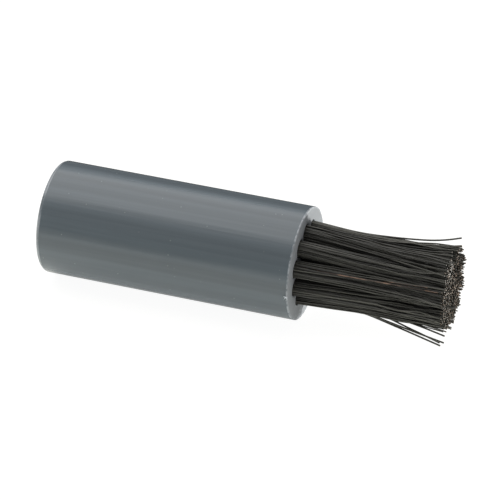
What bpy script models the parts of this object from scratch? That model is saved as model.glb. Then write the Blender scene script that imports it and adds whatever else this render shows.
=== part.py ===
"""Stub brush: a short plastic rod with black bristle tufts stapled into drilled holes.

Everything is modelled upright on the rod's own axis, z counted from the rear face, and the
"brush_axis" empty lays it down: the rod rests on z = 0 with the bristles towards +X, and the
origin is under the middle of the whole brush.
Run with: blender --background --python part.py
"""

import math

import bmesh
import bpy

MM = 0.001

# Handle rod
ROD_RADIUS = 10.0 * MM
ROD_LENGTH = 46.4 * MM
ROD_SIDES = 64
REAR_ROUND = 0.45 * MM
REAR_ROUND_STEPS = 4
FRONT_BREAK = 0.1 * MM

# Bristles
BRISTLE_FREE = 26.4 * MM
TOTAL_LENGTH = ROD_LENGTH + BRISTLE_FREE

# Drilled holes, in two rings
HOLE_RADIUS = 1.6 * MM
HOLE_DEPTH = 11.0 * MM
HOLE_SIDES = 24
DRILL_POINT = math.radians(118)
OUTER_RING = {"name": "outer", "count": 10, "radius": 5.8 * MM, "tip_radius": 5.45 * MM, "first": 32}
INNER_RING = {"name": "inner", "count": 4, "radius": 2.4 * MM, "tip_radius": 2.3 * MM, "first": 23}

# Tufts: bundles folded double, each round its own anchor
TUFT_RADIUS = 1.48 * MM
TUFT_BEVEL_RESOLUTION = 8
TUFT_FLOOR_GAP = 0.2 * MM
TIP_STRAIGHT = 1.5 * MM

# Anchors: short lengths of flat wire driven across the holes
ANCHOR_LENGTH = 3.6 * MM
ANCHOR_THICKNESS = 0.35 * MM
ANCHOR_HEIGHT = 1.6 * MM
ANCHOR_EDGE = 0.06 * MM
ANCHOR_GAP = 0.1 * MM
FOLD_THICKNESS = 1.2 * MM


def clear_scene():
    for obj in list(bpy.data.objects):
        bpy.data.objects.remove(obj, do_unlink=True)


def new_collection(name):
    collection = bpy.data.collections.new(name)
    bpy.context.scene.collection.children.link(collection)
    return collection


def make_material(name, colour, roughness, metallic=0.0):
    material = bpy.data.materials.new(name)
    material.use_nodes = True
    shader = material.node_tree.nodes["Principled BSDF"]
    shader.inputs["Base Color"].default_value = (*colour, 1.0)
    shader.inputs["Roughness"].default_value = roughness
    shader.inputs["Metallic"].default_value = metallic
    return material


def add_object(name, data, collection, axis, location=(0, 0, 0), turn=0.0):
    """An object standing on the rod's axis at a place and a turn about that axis."""
    obj = bpy.data.objects.new(name, data)
    collection.objects.link(obj)
    obj.parent = axis
    obj.location = location
    obj.rotation_euler = (0, 0, turn)
    return obj


def turned_mesh(name, profile):
    """A profile of (radius, z) points, joined by edges, for a Screw modifier."""
    mesh = bpy.data.meshes.new(name)
    edges = [(i, i + 1) for i in range(len(profile) - 1)]
    mesh.from_pydata([(radius, 0, z) for radius, z in profile], edges, [])
    return mesh


def add_screw(obj, sides):
    screw = obj.modifiers.new("turned", "SCREW")
    screw.axis = "Z"
    screw.steps = sides
    screw.render_steps = sides
    screw.use_merge_vertices = True
    screw.merge_threshold = 0.001 * MM
    screw.use_smooth_shade = False
    return screw


def add_cut(obj, cutter):
    cut = obj.modifiers.new(cutter.name, "BOOLEAN")
    cut.operation = "DIFFERENCE"
    cut.solver = "EXACT"
    cut.object = cutter
    return cut


def as_cutter(obj):
    obj.hide_render = True
    obj.display_type = "WIRE"
    return obj


def box_mesh(name, size_x, size_y, size_z):
    mesh = bpy.data.meshes.new(name)
    shape = bmesh.new()
    bmesh.ops.create_cube(shape, size=1.0)
    bmesh.ops.scale(shape, vec=(size_x, size_y, size_z), verts=shape.verts)
    shape.to_mesh(mesh)
    shape.free()
    return mesh


def ring_places(ring):
    """The number, angle and hole centre of each place in a ring."""
    for index in range(ring["count"]):
        angle = math.radians(ring["first"]) + index * math.tau / ring["count"]
        centre = (ring["radius"] * math.cos(angle), ring["radius"] * math.sin(angle))
        yield index + 1, angle, centre


def rod_profile():
    """The rod's outline from the middle of the front face round to the middle of the rear face."""
    points = [(0, ROD_LENGTH), (ROD_RADIUS - FRONT_BREAK, ROD_LENGTH), (ROD_RADIUS, ROD_LENGTH - FRONT_BREAK)]
    for step in range(REAR_ROUND_STEPS + 1):
        angle = math.pi / 2 * step / REAR_ROUND_STEPS
        radius = ROD_RADIUS - REAR_ROUND * (1 - math.cos(angle))
        points.append((radius, REAR_ROUND * (1 - math.sin(angle))))
    points.append((0, 0))
    return points


def make_rod(collection, axis, material):
    """The handle, turned so that one flat of its outline faces down and carries it."""
    half_side = math.pi / ROD_SIDES
    profile = [(radius / math.cos(half_side), z) for radius, z in rod_profile()]
    rod = add_object("handle_rod", turned_mesh("handle_rod", profile), collection, axis, turn=half_side)
    rod.data.materials.append(material)
    add_screw(rod, ROD_SIDES)
    return rod


def make_drill(name, centre, collection, axis):
    """The drilled hole as a solid, with the drill's cone at its end."""
    floor = ROD_LENGTH - HOLE_DEPTH
    point = floor - HOLE_RADIUS / math.tan(DRILL_POINT / 2)
    above = ROD_LENGTH + HOLE_RADIUS
    profile = [(0, above), (HOLE_RADIUS, above), (HOLE_RADIUS, floor), (0, point)]
    drill = add_object(name, turned_mesh(name, profile), collection, axis, location=(*centre, 0))
    add_screw(drill, HOLE_SIDES)
    return as_cutter(drill)


def anchor_middle():
    """How high the anchors' middles lie on the rod's axis."""
    return ROD_LENGTH - HOLE_DEPTH + TUFT_FLOOR_GAP + FOLD_THICKNESS + ANCHOR_GAP + ANCHOR_HEIGHT / 2


def make_pocket(name, angle, centre, collection, axis):
    """The room round an anchor, which it leaves in the tuft and bites out of the hole's walls."""
    size = [side + 2 * ANCHOR_GAP for side in (ANCHOR_LENGTH, ANCHOR_THICKNESS, ANCHOR_HEIGHT)]
    place = (*centre, anchor_middle())
    pocket = add_object(name, box_mesh(name, *size), collection, axis, place, angle + math.pi / 2)
    return as_cutter(pocket)


def make_anchor(name, angle, centre, collection, axis, material):
    mesh = box_mesh(name, ANCHOR_LENGTH, ANCHOR_THICKNESS, ANCHOR_HEIGHT)
    place = (*centre, anchor_middle())
    anchor = add_object(name, mesh, collection, axis, place, angle + math.pi / 2)
    anchor.data.materials.append(material)
    bevel = anchor.modifiers.new("rolled_edges", "BEVEL")
    bevel.width = ANCHOR_EDGE
    bevel.segments = 1
    return anchor


def tuft_spine(ring, angle):
    """Points (position, radius) up a tuft, from its fold in the hole to its trimmed tip."""
    fold = ROD_LENGTH - HOLE_DEPTH + TUFT_FLOOR_GAP
    stations = [
        (fold, ring["radius"], 0.6),
        (fold + 0.35 * TUFT_RADIUS, ring["radius"], 0.88),
        (fold + 0.8 * TUFT_RADIUS, ring["radius"], 1.0),
        (ROD_LENGTH, ring["radius"], 1.0),
        (ROD_LENGTH + 0.4 * BRISTLE_FREE, 0.6 * ring["radius"] + 0.4 * ring["tip_radius"], 1.0),
        (TOTAL_LENGTH - TIP_STRAIGHT, ring["tip_radius"], 1.0),
        (TOTAL_LENGTH, ring["tip_radius"], 1.0),
    ]
    direction = (math.cos(angle), math.sin(angle))
    return [((out * direction[0], out * direction[1], z), size) for z, out, size in stations]


def make_tuft(name, ring, angle, collection, axis, material):
    """A bundle of bristles as one solid, made from a curve so that it can be cut."""
    curve = bpy.data.curves.new(name, "CURVE")
    curve.dimensions = "3D"
    curve.bevel_depth = TUFT_RADIUS
    curve.bevel_resolution = TUFT_BEVEL_RESOLUTION
    curve.use_fill_caps = True
    spine = tuft_spine(ring, angle)
    spline = curve.splines.new("POLY")
    spline.points.add(len(spine) - 1)
    for point, (place, size) in zip(spline.points, spine):
        point.co = (*place, 1.0)
        point.radius = size
    guide = add_object(name + "_guide", curve, collection, axis)
    mesh = bpy.data.meshes.new_from_object(guide.evaluated_get(bpy.context.evaluated_depsgraph_get()))
    bpy.data.objects.remove(guide, do_unlink=True)
    shape = bmesh.new()
    shape.from_mesh(mesh)
    bmesh.ops.remove_doubles(shape, verts=shape.verts, dist=0.001 * MM)
    bmesh.ops.recalc_face_normals(shape, faces=shape.faces)
    shape.to_mesh(mesh)
    shape.free()
    mesh.materials.clear()
    mesh.materials.append(material)
    return add_object(name, mesh, collection, axis)


def shade_round(obj):
    obj.data.shade_smooth()
    obj.data.set_sharp_from_angle(angle=math.radians(35))


def main():
    clear_scene()
    parts = new_collection("stub_brush")
    cutters = new_collection("cutters")
    axis = bpy.data.objects.new("brush_axis", None)
    parts.objects.link(axis)
    axis.location = (-TOTAL_LENGTH / 2, 0, ROD_RADIUS)
    axis.rotation_euler = (0, math.pi / 2, 0)

    pvc = make_material("grey_pvc", (0.115, 0.14, 0.16), 0.45)
    bristle = make_material("black_bristle", (0.012, 0.012, 0.012), 0.5)
    wire = make_material("anchor_wire", (0.62, 0.6, 0.56), 0.35, metallic=1.0)

    rod = make_rod(parts, axis, pvc)
    for ring in (OUTER_RING, INNER_RING):
        for number, angle, centre in ring_places(ring):
            label = f"{ring['name']}_{{}}_{number:02d}"
            drill = make_drill(label.format("drill"), centre, cutters, axis)
            pocket = make_pocket(label.format("pocket"), angle, centre, cutters, axis)
            tuft = make_tuft(label.format("tuft"), ring, angle, parts, axis, bristle)
            make_anchor(label.format("anchor"), angle, centre, parts, axis, wire)
            add_cut(rod, drill)
            add_cut(rod, pocket)
            add_cut(tuft, pocket)
            shade_round(tuft)


main()
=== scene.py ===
"""Stub brush add-on: a short plastic rod with stiff black bristles stapled into its end."""

import math

import bmesh
import bpy
from bpy.props import FloatProperty, FloatVectorProperty, IntProperty, PointerProperty
from mathutils import Matrix, Vector


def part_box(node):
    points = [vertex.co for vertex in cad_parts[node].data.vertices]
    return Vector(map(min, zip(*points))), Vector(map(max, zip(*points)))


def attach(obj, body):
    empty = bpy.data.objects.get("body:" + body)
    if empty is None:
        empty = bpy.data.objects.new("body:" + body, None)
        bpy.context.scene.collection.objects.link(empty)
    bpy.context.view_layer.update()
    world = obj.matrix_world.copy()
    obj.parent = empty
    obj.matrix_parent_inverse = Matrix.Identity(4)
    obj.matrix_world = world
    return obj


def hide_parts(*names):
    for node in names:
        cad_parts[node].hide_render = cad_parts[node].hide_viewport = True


bl_info = {
    "name": "Stub Brush",
    "version": (1, 0, 0),
    "blender": (4, 5, 0),
    "location": "3D View > Sidebar > Stub Brush",
    "description": "Builds a drilled stub brush with separate bristles, and a plain studio round it",
    "category": "Add Mesh",
}

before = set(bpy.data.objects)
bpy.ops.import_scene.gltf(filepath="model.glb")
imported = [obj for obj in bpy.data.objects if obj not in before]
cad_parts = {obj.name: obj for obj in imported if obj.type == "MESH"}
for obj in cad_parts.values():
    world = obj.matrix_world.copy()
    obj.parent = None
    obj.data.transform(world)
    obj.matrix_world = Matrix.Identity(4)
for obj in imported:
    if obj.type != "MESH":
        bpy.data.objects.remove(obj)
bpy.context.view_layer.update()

MM = 0.001
BODY = "root"
ROD_NODE = "handle_rod"
ROD_LOW, ROD_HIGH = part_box(ROD_NODE)
REAR_X = ROD_LOW.x
FACE_X = ROD_HIGH.x
ROD_RADIUS = (ROD_HIGH.z - ROD_LOW.z) / 2
AXIS_Z = (ROD_HIGH.z + ROD_LOW.z) / 2
TUFT_NODES = sorted(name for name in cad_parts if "_tuft_" in name)
ANCHOR_NODES = sorted(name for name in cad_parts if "_anchor_" in name)
TIP_X = max(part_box(name)[1].x for name in TUFT_NODES)
FREE_LENGTH = TIP_X - FACE_X
FACE_MIDDLE = Vector((FACE_X, 0, AXIS_Z))

# How far the drill wandered at a hole: mm outwards, and degrees round the brush
DRILL_WANDER = {
    "outer_tuft_04": (0.35, 3.0),
    "outer_tuft_05": (0.3, 1.5),
}

# How far each tuft's end leans round the brush (degrees) and towards its middle (a share)
TUFT_LEANS = {
    "outer_tuft_03": (5.0, 1.0),
    "outer_tuft_04": (8.0, 1.03),
    "outer_tuft_05": (26.0, 1.08),
    "outer_tuft_06": (13.0, 0.94),
    "outer_tuft_07": (5.0, 0.98),
    "outer_tuft_08": (0.0, 0.96),
    "outer_tuft_09": (1.0, 0.93),
    "outer_tuft_10": (0.0, 0.97),
}


# -------------------- settings


def length_setting(name, description, default, low=0.0):
    return FloatProperty(name=name, description=description, default=default, unit="LENGTH", min=low)


def number_setting(name, description, default):
    return FloatProperty(name=name, description=description, default=default, min=0.0)


def angle_setting(name, description, degrees):
    return FloatProperty(name=name, description=description, default=math.radians(degrees), unit="ROTATION")


def place_setting(name, description, default):
    return FloatVectorProperty(
        name=name, description=description, subtype="TRANSLATION", size=3, default=default
    )


def colour_setting(name, description, default):
    return FloatVectorProperty(
        name=name, description=description, subtype="COLOR", size=3, default=default, min=0.0, max=1.0
    )


class HandleSettings(bpy.types.PropertyGroup):
    """Sizes and colours of the rod."""

    rear_round: length_setting("Rear edge", "Radius of the rear edge", 0.8 * MM)
    front_break: length_setting("Front edge", "Width of the front edge's break", 0.11 * MM)
    mouth_break: length_setting("Hole edge", "Width of the break at each outer hole's mouth", 0.16 * MM)
    sides: IntProperty(name="Sides", description="Faces round the rod", default=192, min=32)
    colour: colour_setting("Plastic", "Colour of the rod's skin", (0.112, 0.137, 0.156))
    speck_colour: colour_setting("Specks", "Colour of the dust on the skin", (0.42, 0.44, 0.44))
    # Pale worn plastic, also painted on the rims and the holes' mouths as highlight
    worn_and_highlight_colour: colour_setting("Worn edge", "Colour of the worn edges", (0.47, 0.5, 0.54))
    cut_colour: colour_setting("Cut plastic", "Colour of the sawn ends", (0.30, 0.318, 0.345))


class BristleSettings(bpy.types.PropertyGroup):
    """Sizes and colours of the bristles."""

    stray_thickness: length_setting("Stray thickness", "Diameter of a stray bristle", 0.3 * MM)
    brown_thickness: length_setting("Brown thickness", "Diameter of a brown bristle", 0.17 * MM)
    folded: IntProperty(
        name="Bristles in a tuft", description="Bristles folded double round each anchor", default=58, min=4
    )
    thickness: length_setting("Thickness", "Diameter of one bristle", 0.25 * MM)
    hole_radius: length_setting("Hole radius", "Radius of the drilled holes", 1.6 * MM)
    hole_depth: length_setting("Hole depth", "Full depth of the drilled holes", 11.0 * MM)
    flare: number_setting("Flare", "How much wider a tuft is at its end than at its hole", 1.3)
    gather: number_setting("Gather", "How far the bundle draws in half way along, as a share", 0.075)
    scatter: length_setting("Scatter", "How far a bristle's end strays", 0.46 * MM)
    colour: colour_setting("Bristle", "Colour of the bristles", (0.048, 0.0475, 0.041))
    dust_colour: colour_setting("Dust", "Colour of the dust on the bristles", (0.3, 0.28, 0.24))
    end_colour: colour_setting("Cut ends", "Colour of the bristles' cut ends", (0.08, 0.055, 0.04))
    brown_colour: colour_setting("Brown bristle", "Colour of the odd brown bristle", (0.25, 0.155, 0.11))
    seed: IntProperty(name="Seed", description="Changes how the bristles lie", default=3, min=0)


class StageSettings(bpy.types.PropertyGroup):
    """The camera and the studio."""

    azimuth: angle_setting("Azimuth", "Camera's turn round the brush", 19.08)
    elevation: angle_setting("Elevation", "Camera's height angle", 33.53)
    distance: length_setting("Distance", "Camera's distance from its aim", 564.5 * MM)
    focal_length: FloatProperty(
        name="Focal length", description="Camera's focal length in millimetres", default=234.26, unit="CAMERA"
    )
    aim: place_setting("Aim", "Point that the camera looks at", (-0.17 * MM, 0.0, 10.575 * MM))
    floor_colour: colour_setting("Floor", "Colour of the floor", (0.86, 0.87, 0.8))
    floor_shade: colour_setting(
        "Floor behind", "Colour that the floor behind the brush has in reflections", (0.05, 0.05, 0.05)
    )
    floor_white: number_setting("Floor glow", "Light that whitens the floor for the camera", 0.94)
    floor_bounce: number_setting("Floor bounce", "Light that the floor in front adds to the brush", 0.39)
    box_low: angle_setting("Softbox start", "Angle of the far edge", 36)
    box_high: angle_setting("Softbox end", "Angle of the near edge", 112)
    box_distance: length_setting("Softbox distance", "Distance of the softbox's edges", 0.75)
    box_length: length_setting("Softbox length", "Length of the softbox along the brush", 1.4)
    box_brightness: number_setting("Softbox brightness", "Brightness of the softbox's face", 1.65)
    box_colour: colour_setting("Softbox colour", "Colour of its light", (1.0, 0.98, 0.96))
    box_shift: length_setting("Softbox shift", "How far its middle lies towards the tips", -0.45, low=-2.0)
    side_place: place_setting("Side light", "Place of the light beyond the bristles", (0.070, 0.0136, 0.008))
    side_colour: colour_setting("Side light colour", "Colour of its light", (1.0, 0.99, 0.93))
    side_size: length_setting("Side light size", "Width of the light", 0.0018)
    side_power: number_setting("Side light power", "Power in watts", 0.043)
    room_low: number_setting("Room low", "Brightness of the room at its foot", 0.03)
    room_high: number_setting("Room high", "Brightness of the room overhead", 0.52)


class StubBrushSettings(bpy.types.PropertyGroup):
    """All the brush's settings."""

    handle: PointerProperty(type=HandleSettings)
    bristles: PointerProperty(type=BristleSettings)
    stage: PointerProperty(type=StageSettings)


# -------------------- mesh helpers

# How near points are before they are made one: at a turned seam, in a blank, in the drilled rod
SEAM_WELD = 0.0001 * MM
BLANK_WELD = 0.0005 * MM
DRILLED_WELD = 0.0002 * MM


def scene_object(name, data):
    """A new object of the scene, at the origin."""
    obj = bpy.data.objects.new(name, data)
    bpy.context.scene.collection.objects.link(obj)
    return obj


def take_result(obj, name, move=None):
    """The object's evaluated mesh as a new plain object at the origin; the old one is removed."""
    depsgraph = bpy.context.evaluated_depsgraph_get()
    mesh = bpy.data.meshes.new_from_object(obj.evaluated_get(depsgraph))
    bpy.data.objects.remove(obj, do_unlink=True)
    mesh.name = name
    if move:
        mesh.transform(Matrix.Translation(move))
    return scene_object(name, mesh)


def made_mesh(name, shape):
    """A mesh of what has been built, which is then let go."""
    mesh = bpy.data.meshes.new(name)
    shape.to_mesh(mesh)
    shape.free()
    return mesh


def tidy_mesh(mesh, merge):
    """Points that coincide made one, and faces turned outwards."""
    shape = bmesh.new()
    shape.from_mesh(mesh)
    bmesh.ops.remove_doubles(shape, verts=shape.verts, dist=merge)
    bmesh.ops.dissolve_degenerate(shape, edges=shape.edges, dist=merge)
    bmesh.ops.recalc_face_normals(shape, faces=shape.faces)
    shape.to_mesh(mesh)
    shape.free()


def turned(name, profile, sides):
    """A solid to be turned about X from (x, radius) points that begin and end on the axis."""
    mesh = bpy.data.meshes.new(name)
    edges = [(i, i + 1) for i in range(len(profile) - 1)]
    mesh.from_pydata([(x, 0, radius) for x, radius in profile], edges, [])
    obj = scene_object(name, mesh)
    screw = obj.modifiers.new("turned", "SCREW")
    screw.axis = "X"
    screw.steps = sides
    screw.render_steps = sides
    screw.use_merge_vertices = True
    screw.merge_threshold = SEAM_WELD
    return obj


def settle(piece, slot, *replaced):
    """Ties a finished piece to the frame."""
    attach(piece, BODY)
    if replaced:
        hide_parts(*replaced)


# -------------------- node helpers


class Field:
    """A socket of a node tree that ordinary arithmetic adds nodes to."""

    def __init__(self, tree, socket):
        self.tree = tree
        self.socket = socket

    @property
    def is_vector(self):
        return self.socket.type == "VECTOR"

    def node(self, kind, operation, *values):
        node = self.tree.nodes.new(kind)
        node.operation = operation
        for socket, value in zip(node.inputs, values):
            plug(self.tree, socket, value)
        return Field(self.tree, node.outputs[0])

    def math(self, operation, *values):
        return self.node("ShaderNodeMath", operation, self, *values)

    def vector_math(self, operation, *values):
        return self.node("ShaderNodeVectorMath", operation, self, *values)

    def either(self, operation, other):
        if self.is_vector or getattr(other, "is_vector", False):
            return self.vector_math(operation, other)
        return self.math(operation, other)

    def __add__(self, other):
        return self.either("ADD", other)

    def __sub__(self, other):
        return self.either("SUBTRACT", other)

    def __mul__(self, other):
        if self.is_vector and not getattr(other, "is_vector", False):
            kind = {"operation": "SCALE"}
            return output_of(self.tree, "ShaderNodeVectorMath", "Vector", kind, Vector=self, Scale=other)
        return self.either("MULTIPLY", other)

    def __truediv__(self, other):
        return self.either("DIVIDE", other)

    def length(self):
        measured = self.vector_math("LENGTH").socket.node
        return Field(self.tree, measured.outputs["Value"])

    def one_minus(self):
        return self.node("ShaderNodeMath", "SUBTRACT", 1.0, self)

    def clamp(self):
        return output_of(self.tree, "ShaderNodeClamp", "Result", Value=self)

    def ramp(self, low, high, to_low=0.0, to_high=1.0, smooth=True):
        """The value mapped from one range to another and held at its ends."""
        ends = {"From_Min": low, "From_Max": high, "To_Min": to_low, "To_Max": to_high}
        kind = {"interpolation_type": "SMOOTHSTEP" if smooth else "LINEAR"}
        return output_of(self.tree, "ShaderNodeMapRange", "Result", kind, Value=self, **ends)


def plug(tree, socket, value):
    """Sets a socket to a number, or links a field or another socket to it."""
    if isinstance(value, Field):
        value = value.socket
    if isinstance(value, bpy.types.NodeSocket):
        tree.links.new(value, socket)
    else:
        socket.default_value = value


def add_node(tree, kind, settings=None, **inputs):
    """A node with its settings and inputs given by name, underscores standing for spaces."""
    node = tree.nodes.new(kind)
    for key, value in (settings or {}).items():
        setattr(node, key, value)
    for key, value in inputs.items():
        plug(tree, node.inputs[key.replace("_", " ")], value)
    return node


def output_of(tree, kind, output, settings=None, **inputs):
    """One output of a new node, as a field."""
    return Field(tree, add_node(tree, kind, settings, **inputs).outputs[output])


def given_inputs(tree):
    """A field for each input of a node group, by its name."""
    source = tree.nodes.new("NodeGroupInput")
    return {output.name: Field(tree, output) for output in source.outputs if output.name}


def group_socket(tree, name, kind, default=None, direction="INPUT"):
    socket = tree.interface.new_socket(name=name, in_out=direction, socket_type=kind)
    if default is not None:
        socket.default_value = default
    return socket


def combine(tree, x, y, z):
    return output_of(tree, "ShaderNodeCombineXYZ", "Vector", X=x, Y=y, Z=z)


def random_field(tree, low, high, which, seed):
    """A random number for each value of the integer field 'which'."""
    node = add_node(tree, "FunctionNodeRandomValue", {"data_type": "FLOAT"}, ID=which, Seed=seed)
    limits = {"Min": low, "Max": high}
    for socket in node.inputs:
        if socket.enabled and socket.name in limits:
            socket.default_value = limits[socket.name]
    return Field(tree, next(out for out in node.outputs if out.enabled))


def new_growth(name, inputs):
    """A geometry node tree with these (name, kind, default) inputs, and a field for each input."""
    tree = bpy.data.node_groups.new(name, "GeometryNodeTree")
    tree.is_modifier = True
    for label, kind, default in inputs:
        group_socket(tree, label, "NodeSocket" + kind, default)
    group_socket(tree, "Mesh", "NodeSocketGeometry", direction="OUTPUT")
    return tree, given_inputs(tree)


def store(tree, geometry, name, value):
    """The geometry with a number kept on each point under this name."""
    node = add_node(
        tree,
        "GeometryNodeStoreNamedAttribute",
        {"data_type": "FLOAT", "domain": "POINT"},
        Geometry=geometry,
        Name=name,
        Value=value,
    )
    return node.outputs["Geometry"]


def finish_growth(tree, lines, radius, sides, material, width=1.0):
    """Ends a tree: a round skin over every line, made real and given its material."""
    outline = add_node(
        tree, "GeometryNodeCurvePrimitiveCircle", {"mode": "RADIUS"}, Resolution=sides, Radius=radius
    )
    skin = add_node(
        tree,
        "GeometryNodeCurveToMesh",
        Curve=lines,
        Profile_Curve=outline.outputs["Curve"],
        Scale=width,
        Fill_Caps=True,
    )
    real = add_node(tree, "GeometryNodeRealizeInstances", Geometry=skin.outputs["Mesh"])
    finished = add_node(
        tree, "GeometryNodeSetMaterial", Geometry=real.outputs["Geometry"], Material=material
    )
    add_node(tree, "NodeGroupOutput", Mesh=finished.outputs["Geometry"])
    return tree


def grown(name, tree, values, mesh=None):
    """A plain mesh object grown by a geometry node tree with these input values."""
    obj = scene_object(name + "_growing", mesh or bpy.data.meshes.new(name))
    modifier = obj.modifiers.new("grown", "NODES")
    modifier.node_group = tree
    for item in tree.interface.items_tree:
        if item.item_type == "SOCKET" and item.in_out == "INPUT" and item.name in values:
            modifier[item.identifier] = values[item.name]
    obj.update_tag()
    return take_result(obj, name)


# -------------------- bristle tufts

# Points along a folded bristle: on each leg, and on each half of the arc under its anchor
LEG_SEGMENTS = 9
ARC_SEGMENTS = 2
BRISTLE_SIDES = 5
STRAY_POINTS = 48
STRAY_SIDES = 6

# Where the tufts end: how far from the brush's middle, and how far that lies off the rod's axis
TIP_REACH = {"outer": 5.45 * MM, "inner": 2.3 * MM}
BUNDLE_SHIFT = Vector((0, 0.15 * MM, 0.25 * MM))
ANCHOR_THICKNESS = 0.35 * MM

# How bristles stand in a hole, in bristle radii: off its wall, and off their even places
WALL_ROOM = 1.25
UNEVENNESS = 0.45
GOLDEN_TURN = 0.618034

# How bristles run outside the hole
LEAN_POWER = 1.35
WILD_POWER = 9.0
WILD_REACH = 1.7
BOW = 0.3 * MM
WANDER = 2.0 * MM
WANDER_POWER = 1.3
WANDER_TURNS = 1.1
WANDER_SCALE = 420.0
WIDTHS = (0.86, 1.12)
END_WIDTH = 0.93
SEEDS_PER_TUFT = 16.0


def tuft_tree():
    """Geometry nodes: one tuft of bristles, each folded double under an anchor in its hole.

    Every bristle is one line from a tip, down the hole, round under the anchor and up to its
    other tip. X runs along the brush, and the face of the rod is at the hole centre's X.
    """
    tree, given = new_growth(
        "Folded bristle tuft",
        (
            ("Bristles", "Int", 58),
            ("Hole Centre", "Vector", (0.0, 0.0, 0.0)),
            ("Tip Centre", "Vector", (0.0, 0.0, 0.0)),
            ("Brush Middle", "Vector", (0.0, 0.0, 0.0)),
            ("Anchor Direction", "Vector", (0.0, 1.0, 0.0)),
            ("Anchor Depth", "Float", 9.5 * MM),
            ("Anchor Half Thickness", "Float", 0.3 * MM),
            ("Hole Radius", "Float", 1.6 * MM),
            ("Bristle Radius", "Float", 0.12 * MM),
            ("Free Length", "Float", 26.4 * MM),
            ("Flare", "Float", 1.3),
            ("Gather", "Float", 0.07),
            ("Scatter", "Float", 0.3 * MM),
            ("Length Variation", "Float", 0.35 * MM),
            ("Seed", "Int", 0),
            ("Material", "Material", None),
        ),
    )

    # One straight line, copied once for each bristle
    line = add_node(tree, "GeometryNodeCurvePrimitiveLine", End=(1.0, 0.0, 0.0))
    points = 2 * (LEG_SEGMENTS + ARC_SEGMENTS) + 1
    resample = add_node(tree, "GeometryNodeResampleCurve", Curve=line.outputs["Curve"], Count=points)
    copies = add_node(
        tree,
        "GeometryNodeDuplicateElements",
        {"domain": "SPLINE"},
        Geometry=resample.outputs["Curve"],
        Amount=given["Bristles"],
    )
    number = Field(tree, copies.outputs["Duplicate Index"])
    along = output_of(tree, "GeometryNodeSplineParameter", "Factor")

    # Where on its line a point is: 0 at the fold, 1 at either tip, and on which leg
    from_fold = (along * 2.0 - 1.0).math("ABSOLUTE")
    leg = (along - 0.5).math("SIGN")
    arc_share = ARC_SEGMENTS / (ARC_SEGMENTS + LEG_SEGMENTS)
    arc_turn = (from_fold / arc_share).math("MINIMUM", 1.0) * (math.pi / 2)
    leg_share = ((from_fold - arc_share) / (1.0 - arc_share)).math("MAXIMUM", 0.0)
    half = number * 2.0 + along.math("GREATER_THAN", 0.5)

    def chance(low, high, which, draw):
        return random_field(tree, low, high, which, given["Seed"] * SEEDS_PER_TUFT + float(draw))

    # Where the bristle stands in its hole: evenly over half a disc, the other leg mirrored
    reach = given["Hole Radius"] - given["Bristle Radius"] * WALL_ROOM
    share = (number + 0.5) / given["Bristles"]
    out = share.math("SQRT") * reach
    turn = (number * GOLDEN_TURN).math("FRACT") * math.pi
    jitter = given["Bristle Radius"] * UNEVENNESS
    beside = out * turn.math("COSINE") + chance(-1.0, 1.0, half, 1) * jitter
    across = out * turn.math("SINE") + chance(-1.0, 1.0, half, 2) * jitter
    anchor_room = given["Anchor Half Thickness"] + given["Bristle Radius"]
    pressed = anchor_room + across * (anchor_room / reach).one_minus()

    # How far out along the brush the point is, and how free of the hole
    length = given["Free Length"] + chance(-1.0, 1.0, half, 3) * given["Length Variation"]
    rise = leg_share * (given["Anchor Depth"] + length)
    height = rise - given["Anchor Depth"] - pressed * arc_turn.math("COSINE")
    freed = height.ramp(given["Anchor Depth"] * -1.0, 0.0)
    free = (height / given["Free Length"]).clamp()
    spread_across = (pressed + (across - pressed) * freed) * arc_turn.math("SINE") * leg

    # The bristle's place in the hole, from the directions along and across its anchor
    x_axis = combine(tree, 1.0, 0.0, 0.0)
    sideways = combine(tree, 0.0, 1.0, 1.0)
    cross_direction = x_axis.vector_math("CROSS_PRODUCT", given["Anchor Direction"])
    place = given["Anchor Direction"] * beside + cross_direction * spread_across

    # Outside the hole the bristle leans, flares, strays, bows and wanders
    stray = combine(tree, 0.0, chance(-1.0, 1.0, half, 4), chance(-1.0, 1.0, half, 5))
    wild = chance(0.0, 1.0, half, 6).math("POWER", WILD_POWER) * WILD_REACH + 1.0
    bow = combine(tree, 0.0, chance(-1.0, 1.0, half, 7), chance(-1.0, 1.0, half, 8))
    lean = (given["Tip Centre"] - given["Hole Centre"]) * sideways
    drift = lean + place * (given["Flare"] - 1.0) + stray * given["Scatter"] * wild
    arch = (free * math.pi).math("SINE")
    outward = (given["Hole Centre"] + place - given["Brush Middle"]) * sideways
    here = output_of(
        tree,
        "ShaderNodeTexNoise",
        "Color",
        {"noise_dimensions": "4D"},
        Vector=(given["Hole Centre"] + place) * sideways,
        W=free * WANDER_TURNS,
        Scale=WANDER_SCALE,
        Detail=1.0,
    )
    wander = here.vector_math("SUBTRACT", (0.5, 0.5, 0.5)) * sideways
    wander = wander * (free.math("POWER", WANDER_POWER) * WANDER)
    position = (
        given["Hole Centre"]
        + x_axis * height
        + place
        + drift * free.math("POWER", LEAN_POWER)
        + bow * (arch * BOW)
        + wander
        - outward * (arch * given["Gather"])
    )

    # What the material reads: a tone for each bristle, and the distance from its cut end
    geometry = store(tree, copies.outputs["Geometry"], "tone", chance(0.0, 1.0, number, 9))
    geometry = store(tree, geometry, "from_end", length - height)
    width = chance(*WIDTHS, number, 10) * free.ramp(0.0, 1.0, 1.0, END_WIDTH, smooth=False)
    geometry = store(tree, geometry, "bristle_width", width)
    placed = add_node(tree, "GeometryNodeSetPosition", Geometry=geometry, Position=position)
    kind = {"data_type": "FLOAT"}
    width = output_of(tree, "GeometryNodeInputNamedAttribute", "Attribute", kind, Name="bristle_width")
    lines = placed.outputs["Geometry"]
    return finish_growth(tree, lines, given["Bristle Radius"], BRISTLE_SIDES, given["Material"], width)


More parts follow.
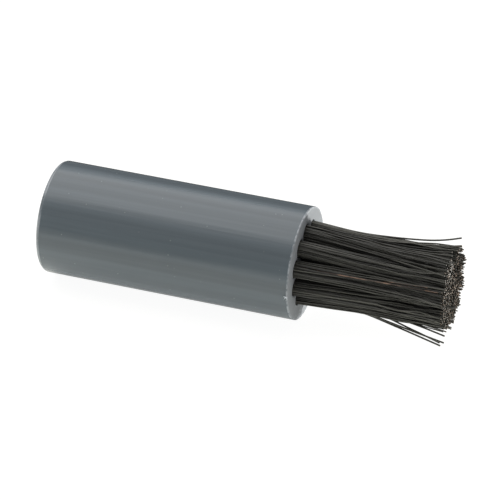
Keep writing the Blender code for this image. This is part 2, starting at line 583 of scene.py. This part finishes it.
def hole_of(tuft_node):
    """The hole's centre at the face, and its anchor's direction and depth, for a tuft."""
    low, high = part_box(tuft_node.replace("tuft", "anchor"))
    centre = Vector((FACE_X, (low.y + high.y) / 2, (low.z + high.z) / 2))
    outwards, turn = DRILL_WANDER.get(tuft_node, (0.0, 0.0))
    arm = Matrix.Rotation(math.radians(turn), 3, "X") @ Vector((0, centre.y, centre.z - AXIS_Z))
    out = arm.normalized()
    centre = FACE_MIDDLE + arm + out * (outwards * MM)
    return centre, Vector((1, 0, 0)).cross(out), FACE_X - low.x


def tip_of(tuft_node, centre):
    """Where the middle of a tuft ends, leant as this tuft leans."""
    turn, pull = TUFT_LEANS.get(tuft_node, (0.0, 1.0))
    out = Vector((0, centre.y, centre.z - AXIS_Z))
    reach = TIP_REACH[tuft_node.split("_")[0]]
    leant = Matrix.Rotation(math.radians(turn), 3, "X") @ out.normalized() * (reach * pull)
    return Vector((TIP_X, leant.y, AXIS_Z + leant.z)) + BUNDLE_SHIFT


class STUBBRUSH_OT_tufts(bpy.types.Operator):
    """Grow the bristles of every tuft"""

    bl_idname = "stub_brush.tufts"
    bl_label = "Bristle Tufts"

    def execute(self, context):
        settings = context.scene.stub_brush.bristles
        material = bristle_material(settings)
        tree = tuft_tree()
        for index, node in enumerate(TUFT_NODES):
            centre, direction, depth = hole_of(node)
            tuft = grown(
                "bristles_" + node,
                tree,
                {
                    "Bristles": settings.folded,
                    "Hole Centre": centre,
                    "Tip Centre": tip_of(node, centre),
                    "Brush Middle": (0.0, 0.0, AXIS_Z),
                    "Anchor Direction": direction,
                    "Anchor Depth": depth,
                    "Anchor Half Thickness": ANCHOR_THICKNESS / 2,
                    "Hole Radius": settings.hole_radius,
                    "Bristle Radius": settings.thickness / 2,
                    "Free Length": FREE_LENGTH,
                    "Flare": settings.flare,
                    "Gather": settings.gather,
                    "Scatter": settings.scatter,
                    "Seed": settings.seed + index,
                    "Material": material,
                },
            )
            shade_bristles(tuft)
            settle(tuft, "black_bristle", node)
        return {"FINISHED"}


# Odd bristles, each with its outer tuft's number, its place across that tuft's hole (mm, round the
# brush and outwards), its tone, and points further on as round_brush takes them
STRAY_BRISTLES = (
    (
        4,
        (0.1, 1.2),
        0.6,
        ((8.0, 6.98, 52), (14.0, 7.2, 54), (19.9, 7.75, 55), (23.4, 8.4, 55), (26.2, 9.25, 55)),
    ),
    (4, (0.5, 1.1), 0.9, ((10.0, 6.8, 56), (19.0, 7.05, 56), (24.0, 7.45, 57), (26.6, 7.95, 58))),
    (9, (0.2, 1.2), 0.4, ((8.0, 6.6, 233), (11.6, 6.5, 234), (18.0, 7.75, 235), (26.0, 9.5, 236))),
    (9, (-0.3, 1.1), 0.7, ((9.0, 6.55, 231), (12.4, 6.5, 232), (19.4, 7.7, 233), (26.6, 8.9, 234))),
    (9, (-0.6, 1.0), 0.5, ((10.0, 6.3, 228), (15.8, 6.15, 229), (21.4, 6.8, 230), (26.6, 7.75, 231))),
    (10, (-0.6, 1.1), 0.3, ((8.0, 6.7, 243), (14.6, 6.4, 241), (20.0, 7.6, 240), (25.7, 9.05, 239))),
    (8, (0.3, 0.6), 0.5, ((12.0, 4.6, 188), (20.0, 4.3, 186), (28.2, 4.2, 185))),
)
BROWN_BRISTLES = (
    (7, (-0.35, 1.0), 0.4, ((3.0, 6.3, 153), (6.0, 6.75, 152.5), (15.5, 6.75, 151.5), (25.5, 7.05, 150.5))),
    (7, (-0.6, 0.9), 0.8, ((6.0, 5.5, 151), (14.0, 5.5, 150), (18.5, 6.7, 148.0), (23.6, 7.15, 146.0))),
)

# How far above its anchor a stray begins, and how far it stands straight out of the hole
STRAY_LIFT = 1.0 * MM
STRAY_START = 1.2 * MM


def path_tree():
    """Geometry nodes: bristles along the edges of a mesh, smoothed."""
    tree, given = new_growth(
        "Single bristles",
        (
            ("Paths", "Geometry", None),
            ("Bristle Radius", "Float", 0.12 * MM),
            ("Material", "Material", None),
        ),
    )
    curves = add_node(tree, "GeometryNodeMeshToCurve", Mesh=given["Paths"])
    smooth = add_node(
        tree, "GeometryNodeCurveSplineType", {"spline_type": "CATMULL_ROM"}, Curve=curves.outputs["Curve"]
    )
    even = add_node(tree, "GeometryNodeResampleCurve", Curve=smooth.outputs["Curve"], Count=STRAY_POINTS)
    length = output_of(tree, "GeometryNodeSplineLength", "Length")
    from_end = length - output_of(tree, "GeometryNodeSplineParameter", "Length")
    lines = store(tree, even.outputs["Curve"], "from_end", from_end)
    return finish_growth(tree, lines, given["Bristle Radius"], STRAY_SIDES, given["Material"])


def round_brush(out, radius, degrees):
    """A point by its distance from the face and from the axis (mm) and its angle round the brush."""
    angle, reach = math.radians(degrees), radius * MM
    return Vector((FACE_X + out * MM, reach * math.cos(angle), AXIS_Z + reach * math.sin(angle)))


def path_mesh(name, bristles):
    """The paths of single bristles as edges, each starting beside its tuft's anchor."""
    shape = bmesh.new()
    tones = shape.verts.layers.float.new("tone")
    for tuft, (beside, outwards), tone, points in bristles:
        centre, direction, depth = hole_of(f"outer_tuft_{tuft:02d}")
        out = (centre - FACE_MIDDLE).normalized()
        root = centre + direction * (beside * MM) + out * (outwards * MM)
        path = [root - Vector((depth - STRAY_LIFT, 0, 0)), root, root + Vector((STRAY_START, 0, 0))]
        path += [round_brush(*point) for point in points]
        verts = [shape.verts.new(point) for point in path]
        for vert in verts:
            vert[tones] = tone
        for start, end in zip(verts, verts[1:]):
            shape.edges.new((start, end))
    return made_mesh(name, shape)


class STUBBRUSH_OT_strays(bpy.types.Operator):
    """Add the bristles that stray from the bundle, and the odd brown ones"""

    bl_idname = "stub_brush.strays"
    bl_label = "Stray Bristles"

    def execute(self, context):
        settings = context.scene.stub_brush.bristles
        tree = path_tree()
        for name, bristles, thickness, material in (
            ("bristles_stray", STRAY_BRISTLES, settings.stray_thickness, bristle_material(settings)),
            ("bristles_brown", BROWN_BRISTLES, settings.brown_thickness, brown_material(settings)),
        ):
            values = {"Bristle Radius": thickness / 2, "Material": material}
            strays = grown(name, tree, values, path_mesh(name, bristles))
            shade_bristles(strays)
            settle(strays, "black_bristle")
        return {"FINISHED"}


def shade_bristles(obj):
    """Smooth sides and crisp cut ends."""
    obj.data.shade_smooth()
    obj.data.set_sharp_from_angle(angle=math.radians(80))


# -------------------- handle

REAR_STEPS = 6
DRILL_SIDES = 48
# The drill's point as a share of the hole's radius, and how much finer the inner holes' edges are
DRILL_POINT = 0.6
INNER_FINER = 3
# How far back and in the front edge's middle lies, as a share of the edge's width
EDGE_MIDDLE = 0.3


def rod_profile(settings):
    """(x, radius) points along the rod's outline, rear to front."""
    points = [(REAR_X, 0.0)]
    for step in range(REAR_STEPS + 1):
        angle = math.pi / 2 * step / REAR_STEPS
        x = REAR_X + settings.rear_round * (1 - math.sin(math.pi / 2 - angle))
        radius = ROD_RADIUS - settings.rear_round * (1 - math.sin(angle))
        points.append((x, radius))
    for back, inwards in ((1, 0), (EDGE_MIDDLE, EDGE_MIDDLE), (0, 1)):
        points.append((FACE_X - settings.front_break * back, ROD_RADIUS - settings.front_break * inwards))
    points.append((FACE_X, 0.0))
    return points


def drill_profile(bristles, mouth_break):
    """The outline of a drilled hole with a broken edge and the drill's point."""
    radius = bristles.hole_radius
    floor = FACE_X - bristles.hole_depth
    return [
        (floor - DRILL_POINT * radius, 0.0),
        (floor, radius),
        (FACE_X - mouth_break, radius),
        (FACE_X, radius + mouth_break),
        (FACE_X + radius, radius + mouth_break),
        (FACE_X + radius, 0.0),
    ]


# A sliver of plastic that the saw left on the front rim, a second point that splits off it and a
# small one beside it: (mm back from the rim, mm proud of the rod, degrees round, half its width in mm)
BURR_ARMS = (
    (
        (0.05, -0.04, 185.0, 0.14),
        (0.28, 0.05, 184.2, 0.15),
        (0.46, 0.13, 183.4, 0.14),
        (0.62, 0.2, 182.6, 0.03),
    ),
    ((0.3, 0.05, 184.2, 0.1), (0.48, 0.12, 185.6, 0.07), (0.6, 0.2, 186.8, 0.015)),
    ((0.0, -0.04, 186.6, 0.1), (0.14, 0.03, 187.4, 0.06), (0.26, 0.05, 188.2, 0.02)),
)
BURR_THICKNESS = 0.05  # mm


def burr_mesh():
    """The burr's arms, each a row of four-cornered rings."""
    shape = bmesh.new()
    for arm in BURR_ARMS:
        rings = []
        for back, proud, degrees, half in arm:
            spread = math.degrees(half / (ROD_RADIUS / MM))
            radius = ROD_RADIUS / MM + proud
            ring = []
            for side, turn in ((-1, -spread), (-1, spread), (1, spread), (1, -spread)):
                corner = round_brush(-back, radius + side * BURR_THICKNESS / 2, degrees + turn)
                ring.append(shape.verts.new(corner))
            rings.append(ring)
        for near, far in zip(rings, rings[1:]):
            for i in range(4):
                shape.faces.new((near[i], near[(i + 1) % 4], far[(i + 1) % 4], far[i]))
        shape.faces.new(reversed(rings[0]))
        shape.faces.new(rings[-1])
    bmesh.ops.recalc_face_normals(shape, faces=shape.faces)
    mesh = made_mesh("handle_burr", shape)
    mesh.shade_smooth()
    return mesh


class STUBBRUSH_OT_burr(bpy.types.Operator):
    """Leave the saw's burr on the front rim"""

    bl_idname = "stub_brush.burr"
    bl_label = "Burr"

    def execute(self, context):
        burr = scene_object("handle_burr", burr_mesh())
        burr.data.materials.append(burr_material(context.scene.stub_brush.handle))
        settle(burr, "grey_pvc")
        return {"FINISHED"}


class STUBBRUSH_OT_handle(bpy.types.Operator):
    """Turn the rod and drill its holes"""

    bl_idname = "stub_brush.handle"
    bl_label = "Handle"

    def execute(self, context):
        settings = context.scene.stub_brush.handle
        bristles = context.scene.stub_brush.bristles
        rod = take_result(
            turned("rod_blank", rod_profile(settings), settings.sides), "rod_body", Vector((0, 0, AXIS_Z))
        )
        tidy_mesh(rod.data, BLANK_WELD)
        drills = bmesh.new()
        for ring, finer in (("outer", 1), ("inner", INNER_FINER)):
            outline = drill_profile(bristles, settings.mouth_break / finer)
            drill = take_result(turned("drill_blank", outline, DRILL_SIDES), "drill_" + ring)
            tidy_mesh(drill.data, BLANK_WELD)
            for node in TUFT_NODES:
                if node.startswith(ring):
                    centre, _, _ = hole_of(node)
                    one = drill.data.copy()
                    one.transform(Matrix.Translation((0, centre.y, centre.z)))
                    drills.from_mesh(one)
                    bpy.data.meshes.remove(one)
            bpy.data.objects.remove(drill, do_unlink=True)
        cutter = scene_object("drills", made_mesh("drills", drills))
        cut = rod.modifiers.new("holes", "BOOLEAN")
        cut.solver = "EXACT"
        cut.object = cutter
        handle = take_result(rod, "handle")
        bpy.data.objects.remove(cutter, do_unlink=True)
        tidy_mesh(handle.data, DRILLED_WELD)
        handle.data.shade_smooth()
        handle.data.set_sharp_from_angle(angle=math.radians(28))
        handle.data.materials.clear()
        handle.data.materials.append(plastic_material(settings))
        settle(handle, "grey_pvc", ROD_NODE)
        return {"FINISHED"}


class STUBBRUSH_OT_anchors(bpy.types.Operator):
    """Give the anchors their rolled wire finish"""

    bl_idname = "stub_brush.anchors"
    bl_label = "Anchors"

    def execute(self, context):
        material = wire_material()
        for name in ANCHOR_NODES:
            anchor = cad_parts[name]
            anchor.data.materials.clear()
            anchor.data.materials.append(material)
        return {"FINISHED"}


# -------------------- materials

PLASTIC_IOR = 1.53
BRISTLE_IOR = 1.5
SKIN_RELIEF = 0.012 * MM
TORN_RELIEF = 0.01 * MM
LINE_RELIEF = 0.004 * MM
STAIN_LENGTH = 0.25 * MM
WIRE_DARK = (0.50, 0.49, 0.46)
WIRE_BRIGHT = (0.68, 0.66, 0.62)


def rolled_lines(tree, **values):
    """The drawn lines placed in a material with its own values."""
    return place_effect(tree, drawn_lines_effect(), **values)


def new_material(name):
    material = bpy.data.materials.new(name)
    material.use_nodes = True
    tree = material.node_tree
    return material, tree, tree.nodes["Principled BSDF"]


def object_place(tree):
    return output_of(tree, "ShaderNodeTexCoord", "Object")


def split_place(tree, vector):
    node = add_node(tree, "ShaderNodeSeparateXYZ", Vector=vector)
    return [Field(tree, node.outputs[axis]) for axis in "XYZ"]


def noise(tree, vector, scale, detail=3.0, roughness=0.5):
    inputs = {"Vector": vector, "Scale": scale, "Detail": detail, "Roughness": roughness}
    return output_of(tree, "ShaderNodeTexNoise", "Fac", **inputs)


def attribute(tree, name):
    return output_of(tree, "ShaderNodeAttribute", "Fac", {"attribute_name": name})


def mix_colours(tree, factor, first, second):
    node = tree.nodes.new("ShaderNodeMix")
    node.data_type = "RGBA"
    plug(tree, node.inputs["Factor"], factor)
    colours = [socket for socket in node.inputs if socket.enabled and socket.name in ("A", "B")]
    for socket, value in zip(colours, (first, second)):
        plug(tree, socket, value if isinstance(value, bpy.types.NodeSocket) else (*value, 1.0))
    return next(out for out in node.outputs if out.enabled)


def scaled(colour, share):
    return tuple(min(1.0, channel * share) for channel in colour)


def finish(tree, shader, colour, roughness, height, relief, **plain):
    """Ends a material: its colour, roughness and relief, and what is the same all over it."""
    plug(tree, shader.inputs["Base Color"], colour)
    plug(tree, shader.inputs["Roughness"], roughness)
    bump = add_node(tree, "ShaderNodeBump", Strength=1.0, Distance=relief, Height=height)
    plug(tree, shader.inputs["Normal"], bump.outputs["Normal"])
    for name, value in plain.items():
        shader.inputs[name].default_value = value


def new_effect(name, inputs, outputs):
    """A shader node group with these inputs and outputs, its inputs' fields and its end node."""
    tree = bpy.data.node_groups.new(name, "ShaderNodeTree")
    for label, default in inputs:
        group_socket(tree, label, "NodeSocketFloat", default)
    for label in outputs:
        group_socket(tree, label, "NodeSocketFloat", direction="OUTPUT")
    return tree, given_inputs(tree), tree.nodes.new("NodeGroupOutput")


def drawn_lines_effect():
    """Lines that a die or a roller leaves lengthwise, along X: fine ones and broad ones."""
    found = bpy.data.node_groups.get("Drawn lines")
    if found:
        return found
    tree, given, result = new_effect(
        "Drawn lines", (("Fine Scale", 2600.0), ("Broad Scale", 420.0), ("Stretch", 0.015)), ("Fine", "Broad")
    )
    place = object_place(tree)
    stretched = place * combine(tree, given["Stretch"], 1.0, 1.0)
    plug(tree, result.inputs["Fine"], noise(tree, stretched, given["Fine Scale"], detail=2.0))
    plug(tree, result.inputs["Broad"], noise(tree, stretched, given["Broad Scale"], detail=3.0))
    return tree


def specks_effect():
    """Scattered specks: a mask that is 1 on the few cells that hold one."""
    found = bpy.data.node_groups.get("Specks")
    if found:
        return found
    tree, given, result = new_effect(
        "Specks", (("Cell Scale", 700.0), ("Share", 0.05), ("Size", 0.12)), ("Mask",)
    )
    place = object_place(tree)
    cells = add_node(tree, "ShaderNodeTexVoronoi", Vector=place, Scale=given["Cell Scale"])
    chosen = split_place(tree, cells.outputs["Color"])
    size = given["Size"] * (chosen[1] + 0.5)
    spot = (Field(tree, cells.outputs["Distance"]) / size).ramp(0.6, 1.0, 1.0, 0.0)
    plug(tree, result.inputs["Mask"], spot * chosen[0].math("LESS_THAN", given["Share"]))
    return tree


def place_effect(tree, effect, **values):
    """The outputs of an effect placed in a material with its own values."""
    node = tree.nodes.new("ShaderNodeGroup")
    node.node_tree = effect
    for key, value in values.items():
        plug(tree, node.inputs[key.replace("_", " ")], value)
    return {output.name: Field(tree, output) for output in node.outputs}


def plastic_material(settings):
    """Extruded grey plastic: a satin skin with die lines, matte sawn ends, and worn edges with painted edge
    highlights.
    """
    material, tree, shader = new_material("grey_plastic")
    place = object_place(tree)
    x, y, z = split_place(tree, place)
    radius = combine(tree, 0.0, y, z - AXIS_Z).length()
    facing = split_place(tree, output_of(tree, "ShaderNodeNewGeometry", "Normal"))[0]
    sawn = facing.math("ABSOLUTE").ramp(0.8, 0.97)
    lip = facing.ramp(0.25, 0.5) * facing.ramp(0.85, 0.97, 1.0, 0.0)
    rear_lip = (facing * -1.0).ramp(0.05, 0.25) * (facing * -1.0).ramp(0.93, 0.99, 1.0, 0.0)
    lines = rolled_lines(tree)
    specks = place_effect(tree, specks_effect(), Cell_Scale=850.0, Share=0.3, Size=0.085)["Mask"]
    blotches = noise(tree, place, 120.0)
    grit = noise(tree, place, 5200.0, detail=2.0)

    # Skin: a little lighter and darker in lengthwise lines, with pale dust specks
    colour = settings.colour
    skin = mix_colours(tree, lines["Broad"].ramp(0.3, 0.7), scaled(colour, 0.84), scaled(colour, 1.14))
    skin = mix_colours(tree, specks * 0.18, skin, settings.speck_colour)

    # Sawn ends: paler, with saw lines straight across
    saw = noise(tree, place * combine(tree, 1.0, 0.05, 1.0), 1500.0, detail=2.0)
    cut_colour = settings.cut_colour
    cut = mix_colours(tree, saw * 0.6 + blotches * 0.4, scaled(cut_colour, 0.86), scaled(cut_colour, 1.14))

    # Worn edges and painted highlight: a broken pale line round both rims and at the holes' mouths; on the
    # rear round and the holes' mouths it is painted highlight, at the front rim partly chipped plastic and
    # partly painted highlight
    from_front = (x - FACE_X).math("ABSOLUTE")
    outer = radius.ramp(ROD_RADIUS - 0.35 * MM, ROD_RADIUS - 0.1 * MM)
    chipped = noise(tree, place, 900.0, detail=4.0, roughness=0.65)
    front_wear_and_highlight = from_front.ramp(0.1 * MM, 0.35 * MM, 1.0, 0.0) * chipped.ramp(0.4, 0.58, 0.15, 0.85)
    # Painted highlight: the rounded rear edge is painted pale where it would catch light
    rear_painted_highlight = rear_lip * noise(tree, place, 260.0).ramp(0.35, 0.6, 0.12, 0.55)
    sawn_rim = radius.ramp(ROD_RADIUS - 0.45 * MM, ROD_RADIUS - 0.2 * MM)
    sawn_rim = sawn_rim * chipped.ramp(0.36, 0.58, 0.05, 0.6)
    wear_and_edge_highlight = (outer * front_wear_and_highlight).math("MAXIMUM", rear_painted_highlight).math("MAXIMUM", sawn_rim * facing.ramp(0.8, 0.97))
    # Painted highlight: the front edge's break and the holes' mouths are painted pale, broken up by chips
    wear_and_edge_highlight = wear_and_edge_highlight.math("MAXIMUM", lip * chipped.ramp(0.35, 0.55, 0.7, 1.0))
    body = mix_colours(tree, wear_and_edge_highlight * 0.9, mix_colours(tree, sawn, skin, cut), settings.worn_and_highlight_colour)

    satin = lines["Broad"].ramp(0.3, 0.7, 0.2, 0.28, smooth=False) + specks * 0.2
    rough = satin + (satin.one_minus() * 0.72 - 0.06) * sawn
    rough = (rough + wear_and_edge_highlight * 0.2).clamp()
    skin_height = lines["Fine"] * 1.4 + lines["Broad"] * 4.5 + grit * 0.06
    cut_height = saw * 2.0 + grit * 0.8
    height = skin_height + (cut_height - skin_height) * sawn + wear_and_edge_highlight * chipped * 2.0
    finish(tree, shader, body, rough, height, SKIN_RELIEF, IOR=PLASTIC_IOR)
    return material


def burr_material(settings):
    """Torn plastic, pale where it was stretched."""
    material, tree, shader = new_material("torn_plastic")
    torn = noise(tree, object_place(tree), 4000.0, detail=4.0, roughness=0.6)
    pale = scaled(settings.worn_and_highlight_colour, 1.6)
    body = mix_colours(tree, torn.ramp(0.3, 0.7), settings.worn_and_highlight_colour, pale)
    finish(tree, shader, body, torn.ramp(0.3, 0.7, 0.5, 0.8), torn, TORN_RELIEF, IOR=PLASTIC_IOR)
    return material


def bristle_colours(tree, settings, body):
    """A bristle's body colour with its cut end: brown on some bristles, dark on the rest."""
    tone = attribute(tree, "tone")
    cut = attribute(tree, "from_end").ramp(0.0, STAIN_LENGTH, 1.0, 0.0)
    stained = (tone * 7.31).math("FRACT")
    dark_end = scaled(settings.end_colour, 0.12)
    end = mix_colours(tree, stained.ramp(0.35, 0.9), dark_end, tuple(settings.end_colour))
    return mix_colours(tree, cut, body, end)


def brown_material(settings):
    """Brown bristle, dark along most of its length and paler in a few places."""
    material, tree, shader = new_material("bristle_brown")
    lines = rolled_lines(tree, Fine_Scale=9000.0, Broad_Scale=2000.0, Stretch=0.12)
    colour = settings.brown_colour
    along = noise(tree, object_place(tree), 260.0, detail=2.0)
    body = mix_colours(tree, along.ramp(0.46, 0.6), scaled(colour, 0.14), colour)
    body = bristle_colours(tree, settings, body)
    rough = lines["Broad"].ramp(0.3, 0.7, 0.3, 0.45)
    finish(tree, shader, body, rough, lines["Fine"], LINE_RELIEF, IOR=BRISTLE_IOR)
    return material


def bristle_material(settings):
    """Black bristle with a soft shine, faint lengthwise lines, dust specks and brown cut ends."""
    found = bpy.data.materials.get("bristle_black")
    if found:
        return found
    material, tree, shader = new_material("bristle_black")
    tone = attribute(tree, "tone")
    lines = rolled_lines(tree, Fine_Scale=9000.0, Broad_Scale=700.0, Stretch=0.05)
    specks = place_effect(tree, specks_effect(), Cell_Scale=420.0, Share=0.03, Size=0.1)["Mask"]
    colour = settings.colour
    shade = (tone.math("POWER", 2.0) + lines["Broad"] - 0.5).clamp()
    body = mix_colours(tree, shade, scaled(colour, 0.5), scaled(colour, 2.2))
    body = mix_colours(tree, specks * 0.5, body, settings.dust_colour)
    body = bristle_colours(tree, settings, body)
    rough = (tone * 0.14 + lines["Broad"] * 0.2 + 0.28).clamp()
    finish(tree, shader, body, rough, lines["Fine"], LINE_RELIEF, IOR=BRISTLE_IOR)
    return material


def wire_material():
    """Bright rolled steel wire, its lines running across the brush."""
    material, tree, shader = new_material("rolled_wire")
    lines = rolled_lines(tree, Fine_Scale=6000.0, Broad_Scale=1500.0, Stretch=3.0)
    body = mix_colours(tree, lines["Broad"], WIRE_DARK, WIRE_BRIGHT)
    rough = lines["Broad"].ramp(0.3, 0.7, 0.25, 0.42)
    finish(tree, shader, body, rough, lines["Fine"], LINE_RELIEF, Metallic=1.0)
    return material


# -------------------- stage

FLOOR_HALF = 3.0
# Where the floor turns from dark behind the brush to pale in front of it, across the brush
FLOOR_TURN = (-5 * MM, 25 * MM)
# How much of the floor's colour the camera sees under its glow
FLOOR_SEEN = 0.14
WHITE = (1.0, 1.0, 1.0, 1.0)


def camera_mask(tree):
    """1 where the camera itself looks, 0 for light that reaches the brush."""
    return output_of(tree, "ShaderNodeLightPath", "Is Camera Ray")


def lay_floor(settings):
    """A pale floor that looks white to the camera and throws its light back from the front only."""
    shape = bmesh.new()
    bmesh.ops.create_grid(shape, x_segments=1, y_segments=1, size=FLOOR_HALF)
    floor = scene_object("floor", made_mesh("floor", shape))
    material, tree, shader = new_material("floor_white")
    seen = camera_mask(tree)
    _, y, _ = split_place(tree, object_place(tree))
    front = y.ramp(*FLOOR_TURN, 1.0, 0.0)
    thrown = mix_colours(tree, front, settings.floor_shade, settings.floor_colour)
    shown = scaled(settings.floor_colour, FLOOR_SEEN)
    plug(tree, shader.inputs["Base Color"], mix_colours(tree, seen, thrown, shown))
    shader.inputs["Roughness"].default_value = 0.9
    shader.inputs["Emission Color"].default_value = WHITE
    glow = front * settings.floor_bounce
    plug(tree, shader.inputs["Emission Strength"], glow + (glow * -1.0 + settings.floor_white) * seen)
    floor.data.materials.append(material)


def hang_softbox(settings):
    """The big softbox over the brush, held between two angles round the brush's axis."""
    edges = [
        Vector((0, math.cos(angle), math.sin(angle))) * settings.box_distance
        for angle in (settings.box_low, settings.box_high)
    ]
    span = edges[1] - edges[0]
    light = bpy.data.lights.new("softbox_top", "AREA")
    light.shape = "RECTANGLE"
    light.size, light.size_y = settings.box_length, span.length
    light.energy = settings.box_brightness * math.pi * light.size * light.size_y
    light.color = settings.box_colour
    lamp = scene_object("softbox_top", light)
    across, along = span.normalized(), Vector((-1, 0, 0))
    lamp.matrix_world = Matrix((along, across, along.cross(across))).transposed().to_4x4()
    lamp.location = (edges[0] + edges[1]) / 2 + Vector((settings.box_shift, 0, AXIS_Z))


def hang_side_light(settings):
    """The small square light beyond the bristles, aimed at the front face, unseen by the camera."""
    light = bpy.data.lights.new("side_light", "AREA")
    light.size = settings.side_size
    light.energy = settings.side_power
    light.color = settings.side_colour
    lamp = scene_object("side_light", light)
    lamp.location = settings.side_place
    lamp.rotation_euler = (Vector(settings.side_place) - FACE_MIDDLE).to_track_quat("Z", "Y").to_euler()
    lamp.visible_camera = False


def light_world(scene, settings):
    """A dim room that looks white to the camera."""
    world = bpy.data.worlds.new("studio")
    world.use_nodes = True
    tree = world.node_tree
    background = tree.nodes["Background"]
    seen = camera_mask(tree)
    background.inputs["Color"].default_value = WHITE
    height = split_place(tree, output_of(tree, "ShaderNodeTexCoord", "Generated"))[2]
    glow = height.ramp(0.0, 1.0, settings.room_low, settings.room_high, smooth=False)
    plug(tree, background.inputs["Strength"], glow.math("MAXIMUM", seen))
    scene.world = world


def place_camera(scene, settings):
    """The camera at its angle, looking at its aim."""
    turn, level = settings.azimuth, math.cos(settings.elevation)
    back = Vector((math.sin(turn) * level, -math.cos(turn) * level, math.sin(settings.elevation)))
    lens = bpy.data.cameras.new("camera")
    lens.sensor_width = 36.0
    lens.lens = settings.focal_length
    lens.clip_start = 0.01
    lens.clip_end = 20.0
    camera = scene_object("camera", lens)
    camera.location = Vector(settings.aim) + back * settings.distance
    camera.rotation_euler = back.to_track_quat("Z", "Y").to_euler()
    scene.camera = camera


class STUBBRUSH_OT_stage(bpy.types.Operator):
    """Set the floor, the lights and the camera"""

    bl_idname = "stub_brush.stage"
    bl_label = "Stage"

    def execute(self, context):
        settings = context.scene.stub_brush.stage
        lay_floor(settings)
        hang_softbox(settings)
        hang_side_light(settings)
        light_world(context.scene, settings)
        place_camera(context.scene, settings)
        context.scene.view_settings.view_transform = "Standard"
        return {"FINISHED"}


class STUBBRUSH_PT_sidebar(bpy.types.Panel):
    """The brush's tools in the 3D view's sidebar"""

    bl_label = "Stub Brush"
    bl_idname = "STUBBRUSH_PT_sidebar"
    bl_space_type = "VIEW_3D"
    bl_region_type = "UI"
    bl_category = "Stub Brush"

    def draw(self, context):
        settings = context.scene.stub_brush
        for group, operators in (
            (settings.handle, ("handle", "burr", "anchors")),
            (settings.bristles, ("tufts", "strays")),
            (settings.stage, ("stage",)),
        ):
            box = self.layout.box()
            for name in group.bl_rna.properties.keys():
                if name not in ("rna_type", "name"):
                    box.prop(group, name)
            for name in operators:
                box.operator("stub_brush." + name)


CLASSES = (
    HandleSettings,
    BristleSettings,
    StageSettings,
    StubBrushSettings,
    STUBBRUSH_OT_handle,
    STUBBRUSH_OT_burr,
    STUBBRUSH_OT_tufts,
    STUBBRUSH_OT_strays,
    STUBBRUSH_OT_anchors,
    STUBBRUSH_OT_stage,
    STUBBRUSH_PT_sidebar,
)


def register():
    for cls in CLASSES:
        bpy.utils.register_class(cls)
    bpy.types.Scene.stub_brush = PointerProperty(type=StubBrushSettings)


def unregister():
    del bpy.types.Scene.stub_brush
    for cls in reversed(CLASSES):
        bpy.utils.unregister_class(cls)


def main():
    register()
    bpy.ops.stub_brush.handle()
    bpy.ops.stub_brush.burr()
    bpy.ops.stub_brush.tufts()
    bpy.ops.stub_brush.strays()
    bpy.ops.stub_brush.anchors()
    bpy.ops.stub_brush.stage()


if __name__ == "__main__":
    main()
